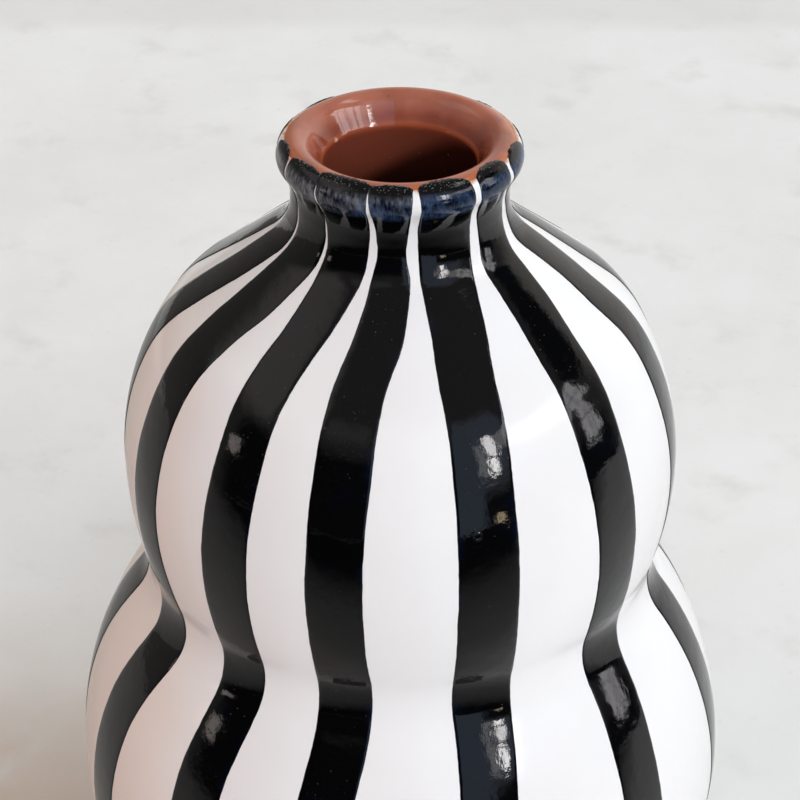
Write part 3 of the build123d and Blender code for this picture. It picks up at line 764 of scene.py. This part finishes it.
# The room that lights the vase and that its glaze mirrors: a bank of windows on the right with
# bars and one clear pane, a blue curtain beside it, and dark on the photographer's side. Each entry
# has its azimuths and elevations in degrees, the softness of its edges and its glow.
world = bpy.data.worlds.new("room")
bpy.context.scene.world = world
world.use_nodes = True
nodes = world.node_tree
sky = nodes.nodes["Background"]
direction = put(nodes, "ShaderNodeTexCoord").outputs["Generated"]
way = put(nodes, "ShaderNodeSeparateXYZ", {0: direction}).outputs
to_front = reckon(nodes, "MULTIPLY", way["Y"], -1.0)
room_azimuth = reckon(nodes, "DEGREES", reckon(nodes, "ARCTAN2", way["X"], to_front))
room_elevation = reckon(nodes, "DEGREES", reckon(nodes, "ARCSINE", way["Z"]))


def within(azimuths, elevations, soft):
    """Share from 1 inside a patch of the room to 0 outside it, with soft edges."""
    share = 1.0
    for angle, (low, high) in ((room_azimuth, azimuths), (room_elevation, elevations)):
        share = reckon(nodes, "MULTIPLY", share, spread(nodes, angle, low - soft, low + soft))
        share = reckon(nodes, "MULTIPLY", share, spread(nodes, angle, high - soft, high + soft, 1.0, 0.0))
    return share


room = (
    ((-181, 181), (-91, 91), 0.5, (0.23, 0.215, 0.205, 1)),
    ((112, 181), (-12, 38), 12, (0.90, 0.86, 0.82, 1)),
    ((-181, -170), (-12, 38), 12, (0.90, 0.86, 0.82, 1)),
    ((-125, -62), (34, 62), 8, (0.78, 0.73, 0.70, 1)),
    ((-76, 22), (-40, 29), 6, (0.012, 0.012, 0.013, 1)),
    ((-48, -10), (40, 54), 5, (0.44, 0.43, 0.42, 1)),
    ((22, 98), (-40, 8), 4, (0.02, 0.02, 0.025, 1)),
    ((20, 60), (10, 54), 5, (0.55, 0.62, 0.80, 1)),
    ((8, 33.5), (-8, 47), 1.5, (0.50, 0.60, 0.80, 1)),
    ((34, 36.5), (13, 33), 0.8, (3.2, 3.2, 3.3, 1)),
    ((47, 57), (26, 37), 1.0, (2.3, 2.2, 2.2, 1)),
    ((57, 98), (24, 37), 1.0, (4.0, 3.85, 3.95, 1)),
    ((82.5, 92), (3, 24.5), 1.0, (4.2, 4.05, 4.15, 1)),
    ((38.8, 43.2), (13, 20.5), 0.4, (22.0, 21.6, 21.8, 1)),
    ((40, 46), (22, 37.5), 0.5, (17.0, 16.6, 16.8, 1)),
    ((82, 137), (57, 63.5), 1.5, (2.4, 2.45, 2.55, 1)),
    ((64, 66), (20, 40), 0.5, (0.8, 0.8, 1.0, 1)),
    ((77, 78.5), (20, 40), 0.5, (0.8, 0.8, 1.0, 1)),
    ((88, 89.2), (1, 40), 0.4, (1.2, 1.2, 1.4, 1)),
    ((57, 98), (29, 30), 0.4, (1.8, 1.8, 2.0, 1)),
    ((81, 96), (14, 15.2), 0.4, (1.2, 1.2, 1.4, 1)),
    ((39, 43), (-6.5, -1.5), 0.6, (7.0, 5.6, 3.6, 1)),
    ((98, 117), (31, 44), 1.5, (0.02, 0.02, 0.02, 1)),
    ((-78, -70), (6.5, 12.5), 1.0, (2.6, 2.3, 2.1, 1)),
)
room_colour = (0.0, 0.0, 0.0, 1)
for azimuths, elevations, soft, glow in room:
    room_colour = blend_colour(nodes, within(azimuths, elevations, soft), room_colour, glow)
nodes.links.new(room_colour, sky.inputs["Color"])


# Soft lamps: the bounced light of the room from the sides, the front and the back. Each stands out of
# the camera's sight, is not mirrored by the glazes, and has its azimuth and elevation in degrees.
lamp_distance = 2.2


def toward(azimuth, elevation, distance):
    """A point seen from the foot of the vase at an azimuth from the front to the right, and an elevation."""
    flat = distance * cosine(elevation)
    return (flat * sine(azimuth), -flat * cosine(azimuth), distance * sine(elevation))


def soft_lamp(name, azimuth, elevation, size, glow):
    """A large square lamp that faces the vase and that the glazes don't mirror."""
    lamp = bpy.data.lights.new(name, "AREA")
    lamp.size = size
    lamp.energy = math.pi * size**2 * max(glow)
    lamp.color = [part / max(glow) for part in glow]
    lit = bpy.data.objects.new(name, lamp)
    lit.location = toward(azimuth, elevation, lamp_distance)
    lit.rotation_euler = (math.radians(90 - elevation), 0, math.radians(azimuth))
    lit.visible_glossy = False
    bpy.context.scene.collection.objects.link(lit)


for name, azimuth, elevation, size, glow in (
    ("left_bounce", -75, 18, 1.4, (0.65, 0.05, 0.0)),
    ("front_bounce", -20, 15, 1.2, (0.5, 0.35, 0.3)),
    ("front_fill", 8, 42, 1.4, (2.9, 3.1, 3.15)),
    ("back_left_fill", -150, 42, 1.6, (0.70, 0.75, 0.62)),
    ("back_right_fill", 150, 42, 1.6, (1.75, 1.95, 2.1)),
):
    soft_lamp(name, azimuth, elevation, size, glow)

# The shade of the photographer on the floor, in front of the vase and at its left. It is a dull card
# just over the floor that only the mirroring glazes see.
shade_size = 1.2
shade_back = 0.5
shade_level = 2 * mm
shade_near = -60 * mm
shade_full = -140 * mm
shade_dark = -450 * mm
shade_mesh = bpy.data.meshes.new("floor_shade")
shade_outline = ((-shade_size, -shade_size), (shade_size, -shade_size), (shade_size, shade_back))
shade_outline += ((-shade_size, shade_back),)
shade_corners = [(x, y, shade_level) for x, y in shade_outline]
shade_mesh.from_pydata(shade_corners, [], [(0, 1, 2, 3)])
shade = bpy.data.objects.new("floor_shade", shade_mesh)
bpy.context.scene.collection.objects.link(shade)
shading = bpy.data.materials.new("floor_in_shade")
shading.use_nodes = True
nodes = shading.node_tree
nodes.nodes.clear()
where = put(nodes, "ShaderNodeTexCoord").outputs["Object"]
spot = put(nodes, "ShaderNodeSeparateXYZ", {0: where}).outputs
in_front = spread(nodes, spot["Y"], shade_full, shade_near, 1.0, 0.0)
at_left = spread(nodes, spot["X"], shade_full, shade_near, 1.0, 0.0)
covered = reckon(nodes, "MAXIMUM", in_front, at_left)
dimmed = spread(nodes, spot["Y"], shade_dark, shade_near)
dimmed = blend_colour(nodes, dimmed, (0.004, 0.004, 0.004, 1), (0.45, 0.44, 0.42, 1))
dull = put(nodes, "ShaderNodeBsdfDiffuse", {"Color": dimmed}).outputs[0]
clear_view = put(nodes, "ShaderNodeBsdfTransparent").outputs[0]
shaded = put(nodes, "ShaderNodeMixShader", {0: covered, 1: clear_view, 2: dull}).outputs[0]
put(nodes, "ShaderNodeOutputMaterial", {"Surface": shaded})
shade_mesh.materials.append(shading)
shade.visible_camera = False
shade.visible_diffuse = False
shade.visible_transmission = False
shade.visible_shadow = False

# The camera: a long lens above and in front of the vase, where the photographer stood, looking down
# at it with the vase's axis upright in the middle of the picture.
camera_tilt = 33.28
camera = bpy.data.cameras.new("camera")
camera.lens = 108
camera.sensor_width = 36
eye = bpy.data.objects.new("camera", camera)
eye.location = (0, -0.42009, 0.4198)
eye.rotation_euler = (math.radians(90 - camera_tilt), 0, 0)
bpy.context.scene.collection.objects.link(eye)
bpy.context.scene.camera = eye
bpy.context.scene.view_settings.view_transform = "Standard"
